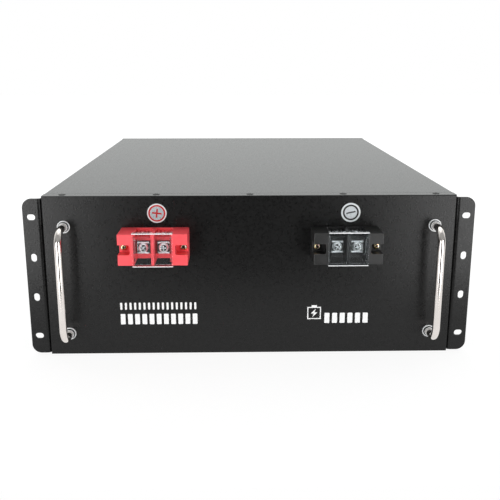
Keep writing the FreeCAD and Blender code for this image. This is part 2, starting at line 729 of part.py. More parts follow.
def link(start, end):
    """A flat copper link between two terminals, in line with X or Y."""
    (x0, y0), (x1, y1) = start, end
    width, length = abs(x1 - x0) + LINK_W, abs(y1 - y0) + LINK_W
    bar = pad((x0 + x1) / 2, width, (y0 + y1) / 2, length, LINK_Z, LINK_Z + LINK_T)
    bar = rounded(bar, 3.0, lambda m, r: along(r, "z"))
    return less(bar, [rod(M6_R + FIT, (x, y, LINK_Z - 1), (x, y, LINK_Z + 5)) for x, y in (start, end)])


def link_x(side, k):
    """X of the link after cell k: outer for even k, inner for odd k, so a row's ends stay inside."""
    return side * (ROW_X + (TERMINAL_X if k % 2 == 0 else -TERMINAL_X))


def series_links():
    middles = cell_middles()
    made = []
    for side in SIDES:
        for k in range(CELLS_PER_ROW - 1):
            x = link_x(side, k)
            made.append(link((x, middles[k]), (x, middles[k + 1])))
    inner = ROW_X - TERMINAL_X
    made.append(link((-inner, middles[-1]), (inner, middles[-1])))
    return made


def m6_nut(start, end):
    return less(hexagon(M6_NUT_R, start, end), [rod(M6_R + FIT, start, end)])


def foot_stud_rows():
    """Y of the two rows of studs that hold the end plates' feet."""
    return (ROW_START - END_PLATE_T - END_FOOT / 2, ROW_END + END_PLATE_T + END_FOOT / 2)


def m6_nuts():
    """Every M6 nut of the cell block: on the links, on the end plates' feet and on the tie rods."""
    top = LINK_Z + LINK_T
    made = [m6_nut((x, y, top), (x, y, top + M6_NUT_H)) for x, y in all_terminals()]
    foot_top = TRAY_T + END_PLATE_T
    made += [m6_nut((x, y, foot_top), (x, y, foot_top + M6_NUT_H))
             for x in FOOT_STUD_X for y in foot_stud_rows()]
    for s in SIDES:
        for z in ROD_Z:
            for face, out in ((ROW_START - END_PLATE_T, -1), (ROW_END + END_PLATE_T, 1)):
                made.append(m6_nut((s * ROD_X, face, z), (s * ROD_X, face + out * M6_NUT_H, z)))
    return made


def cell_spacers():
    made = []
    for side in SIDES:
        for y in cell_middles()[:-1]:
            gap_y = y + (CELL_T + CELL_GAP) / 2
            made.append(pad(side * ROW_X, CELL_W - 6, gap_y, CELL_GAP, CELL_BASE, CELL_TOP - 5))
    return made


def end_plate(face, outward):
    """A folded plate that squeezes the rows, with a foot on the tray's floor."""
    outer = face + outward * END_PLATE_T
    half = END_PLATE_HALF
    plate = box(-half, half, face, outer, TRAY_T, TRAY_T + END_PLATE_H)
    foot = box(-half, half, face, outer + outward * END_FOOT, TRAY_T, TRAY_T + END_PLATE_T)
    made = rounded(joined([plate, foot]), 1.5,
                   lambda m, r: along(r, "x") and near(m.z, TRAY_T) and near(m.y, face))
    stud_y = outer + outward * END_FOOT / 2
    holes = [rod(M6_R + FIT, (x, stud_y, 0), (x, stud_y, 9)) for x in FOOT_STUD_X]
    holes += [rod(M6_R + FIT, (s * ROD_X, face - outward, z), (s * ROD_X, outer + outward, z))
              for s in SIDES for z in ROD_Z]
    return less(made, holes)


def tie_rods():
    over = END_PLATE_T + M6_NUT_H + 3
    return [rod(M6_R, (s * ROD_X, ROW_START - over, z), (s * ROD_X, ROW_END + over, z))
            for s in SIDES for z in ROD_Z]


def base_sheet():
    return box(-ROW_X - CELL_W / 2, ROW_X + CELL_W / 2, ROW_START, ROW_END, TRAY_T, CELL_BASE)


def centre_sheet():
    return box(-SHEET_T / 2, SHEET_T / 2, ROW_START, ROW_END, CELL_BASE, CELL_TOP - 2)


def top_sheet():
    """An insulating cover over the links, open at both ends, standing on the cells' outer edges."""
    half = ROW_X + CELL_W / 2
    top = CELL_TOP + TERMINAL_STUD_H + 4
    outer = box(-half, half, ROW_START, ROW_END, CELL_TOP, top)
    inner = half - SHEET_T
    return less(outer, [box(-inner, inner, ROW_START - 1, ROW_END + 1, CELL_TOP - 1, top - SHEET_T)])


# ---- battery management board ----
def bms_corners():
    return [(x, y) for x in (BMS_X[0] + 8, BMS_X[1] - 8) for y in (BMS_Y[0] + 8, BMS_Y[1] - 8)]


def bms_standoffs():
    return [hexagon(8 / math.sqrt(3), (x, y, TRAY_T), (x, y, BMS_PLATE_Z)) for x, y in bms_corners()]


def bms_heat_sink():
    plate = box(*BMS_X, *BMS_Y, BMS_PLATE_Z, BMS_PLATE_Z + BMS_PLATE_T)
    fins = []
    x = BMS_X[0] + 20
    while x < BMS_X[1] - 20:
        fins.append(box(x, x + 2, *BMS_Y, BMS_FIN_Z, BMS_PLATE_Z))
        x += 9
    return joined([plate] + fins)


def bms_mosfets():
    made = []
    for x in spread(8, 18.0, sum(BMS_X) / 2):
        for y in (BMS_Y[0] + 20, BMS_Y[0] + 45):
            made.append(box(x - 5, x + 5, y - 7, y + 7, BMS_PLATE_Z + BMS_PLATE_T, BMS_BOARD_Z))
    return made


def bms_board():
    (x0, x1), (y0, y1) = BMS_X, BMS_Y
    board = box(x0 + 3, x1 - 3, y0 + 3, y1 - 3, BMS_BOARD_Z, BMS_BOARD_Z + BMS_BOARD_T)
    return rounded(board, 3.0, lambda m, r: along(r, "z"))


def bms_connectors():
    top = BMS_BOARD_Z + BMS_BOARD_T
    made = []
    for x, wide in ((65.0, 34.0), (105.0, 24.0), (130.0, 12.0)):
        y = BMS_Y[0] + 13
        made.append(less(pad(x, wide, y, 10, top, top + 9), [pad(x, wide - 2, y, 8, top + 2, top + 10)]))
    return made


def bms_posts():
    """Copper posts with M6 studs: the cell side on the left, the output side on the right."""
    top = BMS_BOARD_Z + BMS_BOARD_T
    return [joined([box(x - 9, x + 9, POST_Y - 9, POST_Y + 9, top, top + POST_H),
                    rod(M6_R, (x, POST_Y, top), (x, POST_Y, top + POST_H + 12))]) for x in POST_X]


# ---- fuse ----
def fuse_holder():
    base = box(FUSE_X - 16, FUSE_X + 16, *FUSE_Y, TRAY_T, FUSE_Z - 6)
    pads = [box(FUSE_X - 11, FUSE_X + 11, y - 11, y + 11, FUSE_Z - 6, FUSE_Z) for y in fuse_ends()]
    studs = [rod(M6_R, (FUSE_X, y, FUSE_Z - 2), (FUSE_X, y, FUSE_Z + 14)) for y in fuse_ends()]
    return joined([base] + pads + studs)


def fuse_ends():
    return (FUSE_Y[0] + 12, FUSE_Y[1] - 12)


def fuse_link():
    near_y, far_y = fuse_ends()
    blade = box(FUSE_X - 8, FUSE_X + 8, near_y - 9, far_y + 9, FUSE_Z, FUSE_Z + 2)
    body = box(FUSE_X - 11, FUSE_X + 11, near_y + 14, far_y - 14, FUSE_Z - 5, FUSE_Z + 8)
    return less(joined([blade, body]), [rod(M6_R + FIT, (FUSE_X, y, FUSE_Z - 1), (FUSE_X, y, FUSE_Z + 3))
                                        for y in (near_y, far_y)])


# ---- power cables and the sense harness ----
LUG_BARREL = 16.0
LUG_NECK = 13.0             # hole's centre to the barrel's near end
CABLE_START = 18.0          # hole's centre to where the cable begins, inside the barrel
CABLE_LEAD = 42.0           # hole's centre to the cable's first bend


def lug(place, turn=0.0, upright=False):
    """A ring lug seated at a place. Its barrel points to -Y, turned about Z, or down if upright."""
    ring = less(box(-7, 7, -14, 8, 0, LUG_T), [rod(M6_R + FIT, (0, 0, -1), (0, 0, LUG_T + 1))])
    barrel = rod(CABLE_R + 1, (0, -LUG_NECK, CABLE_R), (0, -LUG_NECK - LUG_BARREL, CABLE_R))
    bore = rod(CABLE_R, (0, 1 - CABLE_START, CABLE_R), (0, -LUG_NECK - LUG_BARREL - 1, CABLE_R))
    made = less(joined([ring, barrel]), [bore])
    if upright:
        made.rotate(V(0, 0, 0), V(0, 1, 0), 180)
        made.rotate(V(0, 0, 0), V(1, 0, 0), 90)
    made.rotate(V(0, 0, 0), V(0, 0, 1), turn)
    made.translate(V(*place))
    return made


def lug_places():
    """Seat of every level lug, by what it is bolted to."""
    inner = ROW_X - TERMINAL_X
    first = cell_middles()[0]
    top = BMS_BOARD_Z + BMS_BOARD_T + POST_H
    near_y, far_y = fuse_ends()
    return {"positive_cell": (-inner, first, LINK_Z), "negative_cell": (inner, first, LINK_Z),
            "fuse_far": (FUSE_X, far_y, FUSE_Z + 2), "fuse_near": (FUSE_X, near_y, FUSE_Z + 2),
            "bms_cells": (POST_X[0], POST_Y, top), "bms_output": (POST_X[1], POST_Y, top)}


def busbar_lug(sign):
    return (BLOCK_X[sign], FRONT + BOSS_DEPTH + 3, lug_z())


def cable_lugs():
    made = [lug(place, 90.0 if name.startswith("fuse") else 0.0) for name, place in lug_places().items()]
    return made + [lug(busbar_lug(sign), upright=True) for sign in BLOCK_X]


def leaving(place, direction):
    """A cable's first two points out of a lug whose barrel points along direction."""
    start = V(*place) + V(0, 0, CABLE_R)
    return [tuple(start + V(*direction) * d) for d in (CABLE_START, CABLE_LEAD)]


def leaving_busbar(sign):
    """A cable's first two points down out of the lug on an output busbar."""
    x, y, z = busbar_lug(sign)
    return [(x, y + CABLE_R, z - d) for d in (CABLE_START, CABLE_LEAD)]


def positive_cables():
    """Row to fuse, then fuse to the positive terminal block."""
    at = lug_places()
    forward, right = (0, -1, 0), (1, 0, 0)
    row, fuse_far, fuse_near = at["positive_cell"], at["fuse_far"], at["fuse_near"]
    down = [(row[0] - 14, row[1] - 62, 96), (row[0] - 36, fuse_far[1] - 12, 50)]
    first = tube(leaving(row, forward) + down + leaving(fuse_far, right)[::-1], CABLE_R, 14.0)
    second = tube(leaving(fuse_near, right) + leaving_busbar("positive")[::-1], CABLE_R, 12.0)
    return [first, second]


def negative_cables():
    """Row to the management board, then the board to the negative terminal block."""
    at = lug_places()
    forward = (0, -1, 0)
    row, board_in, board_out = at["negative_cell"], at["bms_cells"], at["bms_output"]
    down = [(row[0], row[1] - 70, 100), (board_in[0], board_in[1] - 52, 76)]
    first = tube(leaving(row, forward) + down + leaving(board_in, forward)[::-1], CABLE_R, 14.0)
    across = [(BLOCK_X["negative"] + 12, board_out[1] - 64, board_out[2] + 6)]
    second = tube(leaving(board_out, forward) + across + leaving_busbar("negative")[::-1], CABLE_R, 12.0)
    return [first, second]


def sense_harness():
    """A wire bundle along the gap between the rows, with one lead to each series link."""
    bundle_z, bundle_r, lead_r = CELL_TOP + 3, 2.6, 0.8
    made = [rod(bundle_r, (0, ROW_START - 10, bundle_z), (0, ROW_END - 42, bundle_z))]
    for side in SIDES:
        for k, y in enumerate(cell_middles()[:-1]):
            edge = abs(link_x(side, k)) - LINK_W / 2
            mid = y + CELL_PITCH / 2
            made.append(rod(lead_r, (0, mid, CELL_TOP + 1.4), (side * edge, mid, CELL_TOP + 1.4)))
    return joined(made)


def pieces():
    """Every node's name and its solid or list of solids."""
    made = {
        "chassis_tray": chassis_tray(), "front_panel": front_panel(), "rear_panel": rear_panel(),
        "top_cover": top_cover(), "case_screws": case_screws(), "base_screws": base_screws(),
        "rack_ear_left": rack_ear(-1), "rack_ear_right": rack_ear(1), "ear_screws": ear_screws(),
        "handle_left": handle(-1), "handle_right": handle(1),
        "handle_ferrules": handle_ferrules(), "handle_bolts": handle_bolts(),
        "block_screws": block_screws(), "block_nuts": block_nuts(), "output_nuts": output_nuts(),
        "polarity_label_plus": polarity_label("plus"), "polarity_label_minus": polarity_label("minus"),
        "cells_left": cells(-1), "cells_right": cells(1), "cell_terminals": cell_terminals(),
        "series_links": series_links(), "m6_nuts": m6_nuts(), "cell_spacers": cell_spacers(),
        "end_plate_front": end_plate(ROW_START, -1), "end_plate_rear": end_plate(ROW_END, 1),
        "tie_rods": tie_rods(), "base_sheet": base_sheet(), "centre_sheet": centre_sheet(),
        "top_sheet": top_sheet(),
        "bms_standoffs": bms_standoffs(), "bms_heat_sink": bms_heat_sink(), "bms_mosfets": bms_mosfets(),
        "bms_board": bms_board(), "bms_connectors": bms_connectors(), "bms_posts": bms_posts(),
        "fuse_holder": fuse_holder(), "fuse_link": fuse_link(), "cable_lugs": cable_lugs(),
        "positive_cables": positive_cables(), "negative_cables": negative_cables(),
        "sense_harness": sense_harness(),
    }
    for sign in BLOCK_X:
        made[f"terminal_block_{sign}"] = terminal_block(sign)
        made[f"pole_seats_{sign}"] = pole_seats(sign)
        made[f"pole_studs_{sign}"] = pole_studs(sign)
        made[f"output_busbar_{sign}"] = output_busbar(sign)
        made[f"terminal_cover_{sign}"] = terminal_cover(sign)
        for place, x in block_poles(sign).items():
            made[f"clamp_washer_{sign}_{place}"] = clamp_washer(x)
            made[f"pole_screw_{sign}_{place}"] = pole_screw(x)
    return made


def main():
    os.makedirs("parts", exist_ok=True)
    for name, shape in pieces().items():
        solids = shape if isinstance(shape, list) else [shape]
        whole = solids[0] if len(solids) == 1 else Part.makeCompound(solids)
        sound = all(s.isValid() and len(s.Solids) == 1 and s.Volume > 0 for s in solids)
        note = "" if sound else "  CHECK"
        print(f"{name}: {len(whole.Solids)} solids, {whole.Volume / 1000:.1f} cm3{note}")
        whole.exportStep(f"parts/{name}.step")


main()
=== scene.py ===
"""The looks of a rack-mount battery pack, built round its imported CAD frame.

Metres, in the frame's own axes: +X to the right of the front panel, +Y to the back, +Z up.
"""
import json
import math

import bmesh
import bpy
from mathutils import Matrix, Vector


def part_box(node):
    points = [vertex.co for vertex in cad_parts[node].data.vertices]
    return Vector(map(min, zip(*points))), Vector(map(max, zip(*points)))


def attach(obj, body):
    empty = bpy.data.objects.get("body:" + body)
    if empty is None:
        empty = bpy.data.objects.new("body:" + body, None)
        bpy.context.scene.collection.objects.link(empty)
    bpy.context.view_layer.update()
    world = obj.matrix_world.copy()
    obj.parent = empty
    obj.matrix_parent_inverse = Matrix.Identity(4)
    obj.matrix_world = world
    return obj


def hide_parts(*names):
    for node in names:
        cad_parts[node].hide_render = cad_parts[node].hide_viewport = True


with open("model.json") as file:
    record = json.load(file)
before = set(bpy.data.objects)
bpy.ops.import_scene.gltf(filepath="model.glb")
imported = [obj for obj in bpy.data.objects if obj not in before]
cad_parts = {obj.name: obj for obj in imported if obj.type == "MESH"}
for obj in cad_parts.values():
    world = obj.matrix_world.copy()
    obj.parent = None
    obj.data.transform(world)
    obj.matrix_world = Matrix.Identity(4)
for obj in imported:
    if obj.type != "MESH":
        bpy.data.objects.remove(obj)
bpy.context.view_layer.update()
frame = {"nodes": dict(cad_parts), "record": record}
NODES = frame["nodes"]

MM = 0.001
ENDS = (-1, 1)
SIDES = ("left", "right")
BLOCKS = ("positive", "negative")
OUT = Vector((0, -1, 0))        # out of the front panel
UP = Vector((0, 0, 1))
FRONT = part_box("front_panel")[0].y
COVER_LOW, COVER_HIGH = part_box("terminal_cover_negative")
COVER_MIDDLE = (COVER_LOW + COVER_HIGH) / 2
COVER_HALF = (COVER_HIGH - COVER_LOW) / 2

# ---- clear covers ----
CORNER_GLINT = 0.92             # how white the front corners (painted highlight), the cut sides (frost and painted highlight) and the rest (haze) are, up to 1
RIM_FROST_AND_GLINT = 0.25
HAZE = 0.004
COVER_ROUNDING = 0.25 * MM

# ---- screws, by head height; their other sizes are read from the CAD ----
CASE_HEAD = 1.3 * MM
CASE_DOME = 0.7 * MM            # a case screw's painted head, flatter than its place in the CAD
BLOCK_HEAD = 3.0 * MM
POLE_HEAD = 3.8 * MM
THREAD_PITCH = 0.8 * MM
THREAD_DEPTH = 0.42 * MM
THREAD_START = -0.6 * MM        # below the seat of the head
SCREW_TURN = 0.7                # radians that each screw of a node is turned beyond the last
# As shares of the head's radius: shanks, the domed middle of a pan head, the field round its cross,
# and the cross's arms in pan and in flush heads.
SHANK_SHARE = 0.53
POLE_SHANK_SHARE = 0.5
DOME_SHARE = 0.66
FIELD_SHARE = 0.70
PAN_REACH, PAN_HALF_WIDTH = 0.58, 0.125
FLUSH_REACH, FLUSH_HALF_WIDTH = 0.6, 0.13
# A pan head's shoulder: (share of the radius, fall as a share of the dome's rise).
HEAD_SHOULDER = [(0.74, 0.22), (0.82, 0.45), (0.90, 0.82), (0.96, 1.26), (0.99, 1.7)]

# ---- clamp plates ----
CLAMP_T = 1.4 * MM
CLAMP_HOLE = 2.6 * MM
CLAMP_CORNER = 1.37             # the corners' reach over half the width; a sharp corner has 1.41
CURL_START, CURL_WIDTH = 0.72, 0.2      # as shares of half the width
MIDDLE_CURL = 0.45              # how high the edge's middle curls, as a share of its corners

# ---- handles ----
HANDLE_BEND = 15 * MM
# A collar's section, as (radius, height) in mm: rounded rim, groove, raised ring round the bar.
COLLAR_RIM = [(4.06, 0), (6.7, 0), (6.8, 0.1), (6.8, 1.0), (6.72, 1.4), (6.5, 1.68), (6.2, 1.78),
              (5.9, 1.68), (5.68, 1.4)]
COLLAR_GROOVE = [(5.6, 1.0), (5.55, 0.6), (4.9, 0.6), (4.86, 0.9)]
COLLAR_RING = [(4.84, 3.0), (4.76, 3.32), (4.6, 3.47), (4.4, 3.5), (4.2, 3.44), (4.1, 3.3)]

# ---- polarity labels: the ring's (inner, outer) radius, each bar's (width, height, thickness) ----
LABEL_T = 0.3 * MM
PLUS_RING = (7.3 * MM, 9.0 * MM)
PLUS_BARS = [(10.2 * MM, 1.7 * MM, LABEL_T), (1.7 * MM, 9.5 * MM, 0.97 * LABEL_T)]
PLUS_TURN = math.radians(-7)
MINUS_RING = (6.7 * MM, 8.5 * MM)
MINUS_BARS = [(10 * MM, 1.4 * MM, LABEL_T)]
MINUS_TURN = math.radians(11.7)

# ---- printing on the panel: (left, bottom, right, top) of each mark ----
INK_T = 0.06 * MM
DASH_ROW = (-142 * MM, 50.8 * MM, -59 * MM, 58.9 * MM)
GAUGE_ROW = (-142 * MM, 33.9 * MM, -58 * MM, 45.9 * MM)
PICTOGRAM = (63 * MM, 38.5 * MM, 78 * MM, 54.5 * MM)
BAR_ROW = (82 * MM, 33.8 * MM, 130 * MM, 45.6 * MM)
# The charge bolt's corners, as shares of the pictogram's width and height.
CHARGE_BOLT = [(0.12, 0.306), (-0.24, -0.034), (-0.03, -0.034),
               (-0.12, -0.306), (0.24, 0.051), (0.03, 0.051)]

# ---- studio ----
FLOOR_NEAR = -0.57              # just below what the camera sees
FLOOR_FAR = 6.0
FLOOR_HALF = 4.0
SIDE_LIGHT = Vector((0.83, -1.35, 0))   # the right one; the left one mirrors it
SIDE_LIGHT_SIZE = (0.74, 1.16)
SIDE_RADIANCE = 5.4
OVERHEAD = Vector((0, 0.1, 2.0))
OVERHEAD_SIZE = (1.8, 1.8)
OVERHEAD_RADIANCE = 0.8

# ---- camera: its place, how far it is turned to the right and tilted down, and its lens in mm ----
EYE = Vector((-0.0170, -1.0659, 0.3140))
YAW = math.radians(1.26)
PITCH = math.radians(14.38)
LENS = 52.92


# ---- shader nodes ----
class Graph:
    """A node tree, with short calls that add a node and give it values or links."""

    def __init__(self, owner):
        owner.use_nodes = True
        self.owner = owner
        self.tree = owner.node_tree
        self.tree.nodes.clear()

    def node(self, kind, inputs=None, output=0, **settings):
        made = self.tree.nodes.new("ShaderNode" + kind)
        for name, value in settings.items():
            setattr(made, name, value)
        for key, value in (inputs or {}).items():
            if isinstance(value, bpy.types.NodeSocket):
                self.tree.links.new(value, made.inputs[key])
            else:
                made.inputs[key].default_value = value
        return made.outputs[output]

    def places(self, stretch=(1, 1, 1)):
        """Where a point lies on its object, with the axes stretched."""
        where = self.node("TexCoord", output="Object")
        return self.node("Mapping", {"Vector": where, "Scale": stretch})

    def noise(self, size, detail=3.0, stretch=(1, 1, 1)):
        """A noise whose patches are about size metres across."""
        return self.node("TexNoise", {"Vector": self.places(stretch), "Scale": 1 / size,
                                      "Detail": detail})

    def bands(self, size, axis, warp=0.0):
        """Straight bands, size metres apart. A wave texture of scale 1 repeats every 0.314 m."""
        return self.node("TexWave", {"Vector": self.places(), "Scale": 0.314 / size,
                                     "Distortion": warp},
                         output=1, wave_type="BANDS", bands_direction=axis)

    def between(self, value, low, high, first=0.0, last=1.0):
        """A ramp from first, where the value is low, to last, where it is high; level beyond them."""
        return self.node("MapRange", {0: value, 1: low, 2: high, 3: first, 4: last})

    def calc(self, operation, first, second):
        return self.node("Math", {0: first, 1: second}, operation=operation)

    def far_from(self, value, middle):
        """The distance of a value from middle."""
        return self.calc("ABSOLUTE", self.calc("SUBTRACT", value, middle), 0.0)

    def tint(self, share, first, second):
        return self.node("Mix", {0: share, 6: rgba(first), 7: rgba(second)}, output=2,
                         data_type="RGBA")

    def relief(self, height, depth):
        return self.node("Bump", {"Height": height, "Strength": 1.0, "Distance": depth})

    def edges(self, radius):
        """1 along the piece's edges, 0 away from them."""
        soft = self.node("Bevel", {"Radius": radius}, samples=4)
        plain = self.node("NewGeometry", output="Normal")
        match = self.node("VectorMath", {0: soft, 1: plain}, output="Value", operation="DOT_PRODUCT")
        return self.between(match, 0.985, 0.86)

    def shader(self, **values):
        names = {key.replace("_", " "): value for key, value in values.items()}
        return self.node("BsdfPrincipled", names)

    def mixed(self, share, first, second):
        return self.node("MixShader", {0: share, 1: first, 2: second})

    def close(self, shader):
        kind = "OutputWorld" if isinstance(self.owner, bpy.types.World) else "OutputMaterial"
        made = self.tree.nodes.new("ShaderNode" + kind)
        self.tree.links.new(shader, made.inputs["Surface"])
        return self.owner


def rgba(colour):
    """A grey number or an (r, g, b) as a colour with alpha; a node's output is left as it is."""
    if isinstance(colour, bpy.types.NodeSocket):
        return colour
    if isinstance(colour, (int, float)):
        return (colour, colour, colour, 1.0)
    return (*colour, 1.0)


def new_look(name):
    return Graph(bpy.data.materials.new(name))


def surface(name, dark, light, gloss, mottle, grain, relief, edge=None, edge_size=0.4 * MM,
            metal=0.0, ior=1.5, stretch=(1, 1, 1), extra=None):
    """A material whose colour and gloss drift in patches of mottle metres.

    gloss is the (low, high) roughness. grain and relief are the fine texture's width and depth, and
    edge is the colour that its edges are tinted to in patches, as wear and as painted highlight. extra
    may change the (graph, colour) before shading.
    """
    look = new_look(name)
    drift = look.between(look.noise(mottle, 4.0, stretch), 0.3, 0.7)
    fine = look.noise(grain, 2.0, stretch)
    colour = look.tint(drift, dark, light)
    if extra:
        colour = extra(look, colour)
    if edge is not None:
        # Painted highlight with wear: the edges are tinted towards the edge colour in patches.
        wear_and_highlight = look.between(look.noise(3 * MM), 0.35, 0.6, 0.25, 1.0)
        colour = look.tint(look.calc("MULTIPLY", look.edges(edge_size), wear_and_highlight), colour, edge)
    rough = look.between(look.calc("ADD", drift, fine), 0.4, 1.6, *gloss)
    return look.close(look.shader(Base_Color=colour, Metallic=metal, Roughness=rough, IOR=ior,
                                  Normal=look.relief(fine, relief)))


# ---- materials ----
def powder_coat():
    """Black fine-texture powder coat on folded steel."""
    # Edge colour 0.06, far lighter than the coat: a painted highlight along the folds.
    return surface("powder_coat", 0.0028, 0.0064, (0.26, 0.31), 2.6 * MM, 1.5 * MM, 0.12 * MM,
                   edge=0.06, edge_size=0.5 * MM, ior=1.36)


def black_oxide():
    return surface("black_oxide", 0.028, 0.045, (0.30, 0.44), 1.2 * MM, 0.2 * MM, 0.008 * MM,
                   edge=0.16, edge_size=0.25 * MM, metal=0.7)


def chrome():
    """Polished chrome with faint wiping marks."""
    return surface("chrome", (0.72, 0.675, 0.645), (0.80, 0.755, 0.725), (0.12, 0.16), 6 * MM, 0.5 * MM,
                   0.0002 * MM, metal=1.0, stretch=(1, 1, 0.3))


def bright_zinc():
    return surface("bright_zinc", (0.40, 0.42, 0.45), (0.62, 0.63, 0.65), (0.30, 0.48), 5 * MM,
                   0.4 * MM, 0.008 * MM, edge=0.75, metal=1.0)


def yellow_zinc():
    """Yellow zinc plate, with the pink and green that passivation leaves."""
    def rainbow(look, colour):
        pink_share = look.between(look.noise(1.6 * MM, 2.0), 0.45, 0.62)
        green_share = look.between(look.noise(2.3 * MM, 2.0), 0.5, 0.68)
        pink = look.tint(pink_share, colour, (0.72, 0.42, 0.45))
        return look.tint(green_share, pink, (0.42, 0.66, 0.50))

    return surface("yellow_zinc", (0.62, 0.42, 0.12), (0.90, 0.72, 0.34), (0.16, 0.30), 1.5 * MM,
                   0.3 * MM, 0.006 * MM, edge=(0.98, 0.86, 0.55), metal=1.0, extra=rainbow)


def nickel():
    return surface("nickel_plate", (0.56, 0.56, 0.55), (0.66, 0.66, 0.64), (0.07, 0.13), 3 * MM,
                   0.4 * MM, 0.002 * MM, edge=(0.93, 0.91, 0.87), edge_size=0.25 * MM, metal=1.0)


def nickel_highlight():
    """A whiter, rougher nickel, which catches light from all round: painted highlight on the pole
    screws' heads, the clamp plates' curls and the collars' turned rims.
    """
    return surface("nickel_highlight", (0.80, 0.81, 0.82), (0.92, 0.93, 0.94), (0.38, 0.46), 3 * MM,
                   0.4 * MM, 0.002 * MM, edge=0.97, edge_size=0.2 * MM, metal=0.5)


def copper():
    """Bare copper, rolled lengthwise and a little tarnished."""
    return surface("copper", (0.55, 0.25, 0.15), (0.85, 0.48, 0.33), (0.22, 0.40), 8 * MM, 0.5 * MM,
                   0.006 * MM, edge=(0.95, 0.62, 0.46), metal=1.0, stretch=(1, 0.3, 1))


def red_moulding():
    return surface("red_moulding", (0.84, 0.068, 0.082), (0.89, 0.080, 0.096), (0.30, 0.42), 4 * MM,
                   0.35 * MM, 0.010 * MM, edge=(0.95, 0.22, 0.24), edge_size=0.35 * MM)


def black_moulding():
    # Edge colour 0.15: a painted highlight along the block's edges.
    return surface("black_moulding", 0.0085, 0.013, (0.30, 0.42), 4 * MM, 0.35 * MM, 0.010 * MM,
                   edge=0.15, edge_size=0.35 * MM)


def clear_polycarbonate():
    """Clear plate with a faint haze; its front corners are white as a painted highlight, and its cut
    sides frosted with a painted highlight.

    Shadow rays pass through it, so that the poles behind it are lit.
    """
    look = new_look("clear_polycarbonate")
    smear = look.noise(7 * MM, 3.0)
    clear = look.shader(Base_Color=look.tint(smear, (0.80, 0.85, 0.88), (0.88, 0.91, 0.92)),
                        Roughness=0.0, IOR=1.34, Transmission_Weight=1.0)
    frost_and_glint = look.shader(Base_Color=look.tint(smear, (0.86, 0.88, 0.89), (0.95, 0.96, 0.97)),
                        Roughness=look.between(smear, 0.3, 0.7, 0.3, 0.45), IOR=1.5)
    x, y, z = (look.node("SeparateXYZ", {0: look.places()}, output=axis) for axis in "XYZ")
    facing_y = look.node("SeparateXYZ", {0: look.node("NewGeometry", output="Normal")}, output="Y")
    cut_side = look.between(look.calc("ABSOLUTE", facing_y, 0.0), 0.9, 0.5)
    end = look.between(look.far_from(z, COVER_MIDDLE.z),
                       COVER_HALF.z - 0.9 * MM, COVER_HALF.z - 0.7 * MM)
    front = look.between(y, COVER_LOW.y + 1.5 * MM, COVER_LOW.y + 1.2 * MM)
    side = look.between(look.far_from(look.calc("ABSOLUTE", x, 0.0), COVER_MIDDLE.x),
                        COVER_HALF.x - 0.4 * MM, COVER_HALF.x - 0.3 * MM)
    # Painted highlight along the front corners, and frost with painted highlight along the cut sides.
    corner = look.calc("MULTIPLY", look.calc("MULTIPLY", end, front), CORNER_GLINT)
    rim = look.calc("MULTIPLY", look.calc("MULTIPLY", side, cut_side), RIM_FROST_AND_GLINT)
    solid = look.mixed(look.calc("MAXIMUM", look.calc("MAXIMUM", corner, rim), HAZE), clear, frost_and_glint)
    shadow = look.node("LightPath", output="Is Shadow Ray")
    return look.close(look.mixed(shadow, solid, look.node("BsdfTransparent", {"Color": rgba(0.82)})))


def label_film(name, dark, light):
    return surface(name, dark, light, (0.30, 0.42), 2.5 * MM, 0.3 * MM, 0.004 * MM, ior=1.3)


def label_face(name, dark, light):
    """The label's middle, a dotted metallic print."""
    def dots(look, colour):
        points = look.node("TexVoronoi", {"Vector": look.places(), "Scale": 1 / (0.7 * MM),
                                          "Randomness": 0.2})
        return look.tint(look.between(points, 0.22, 0.34), 0.86, colour)

    return surface(name, dark, light, (0.24, 0.36), 2 * MM, 0.3 * MM, 0.005 * MM, metal=0.25,
                   extra=dots)


def panel_ink():
    """White screen printing, thinner in places."""
    return surface("panel_ink", 0.80, 0.90, (0.45, 0.60), 2 * MM, 0.4 * MM, 0.004 * MM, edge=0.62,
                   edge_size=0.2 * MM)


def cell_film():
    """Blue shrink film, drawn tight with faint ripples."""
    return surface("cell_film", (0.02, 0.09, 0.30), (0.04, 0.15, 0.42), (0.18, 0.34), 18 * MM, 3 * MM,
                   0.05 * MM, edge=(0.10, 0.26, 0.55), stretch=(1, 1, 0.25))


def glass_laminate():
    """Woven glass-fibre sheet: two crossed sets of threads under the resin."""
    def weave(look, colour):
        crossed = look.calc("MULTIPLY", look.bands(1.2 * MM, "X"), look.bands(1.2 * MM, "Y"))
        return look.tint(look.between(crossed, 0.2, 0.8, 0.0, 0.35), colour, (0.93, 0.90, 0.74))

    return surface("glass_laminate", (0.62, 0.58, 0.38), (0.74, 0.70, 0.50), (0.40, 0.55), 10 * MM,
                   0.6 * MM, 0.01 * MM, edge=(0.90, 0.87, 0.70), extra=weave)


def circuit_board():
    """Green solder mask over copper tracks, with tinned pads."""
    def tracks(look, colour):
        grid = look.node("TexBrick", {"Vector": look.places(), "Color1": rgba(0), "Color2": rgba(0.3),
                                      "Mortar": rgba(1), "Scale": 90.0, "Mortar Size": 0.03})
        laid = look.tint(look.calc("MULTIPLY", grid, 0.6), colour, (0.07, 0.30, 0.14))
        pads = look.node("TexVoronoi", {"Vector": look.places(), "Scale": 1 / (4 * MM),
                                        "Randomness": 0.6})
        return look.tint(look.between(pads, 0.20, 0.16), laid, (0.70, 0.70, 0.66))

    return surface("circuit_board", (0.01, 0.10, 0.05), (0.02, 0.16, 0.08), (0.25, 0.40), 9 * MM,
                   0.5 * MM, 0.02 * MM, edge=(0.55, 0.50, 0.30), extra=tracks)


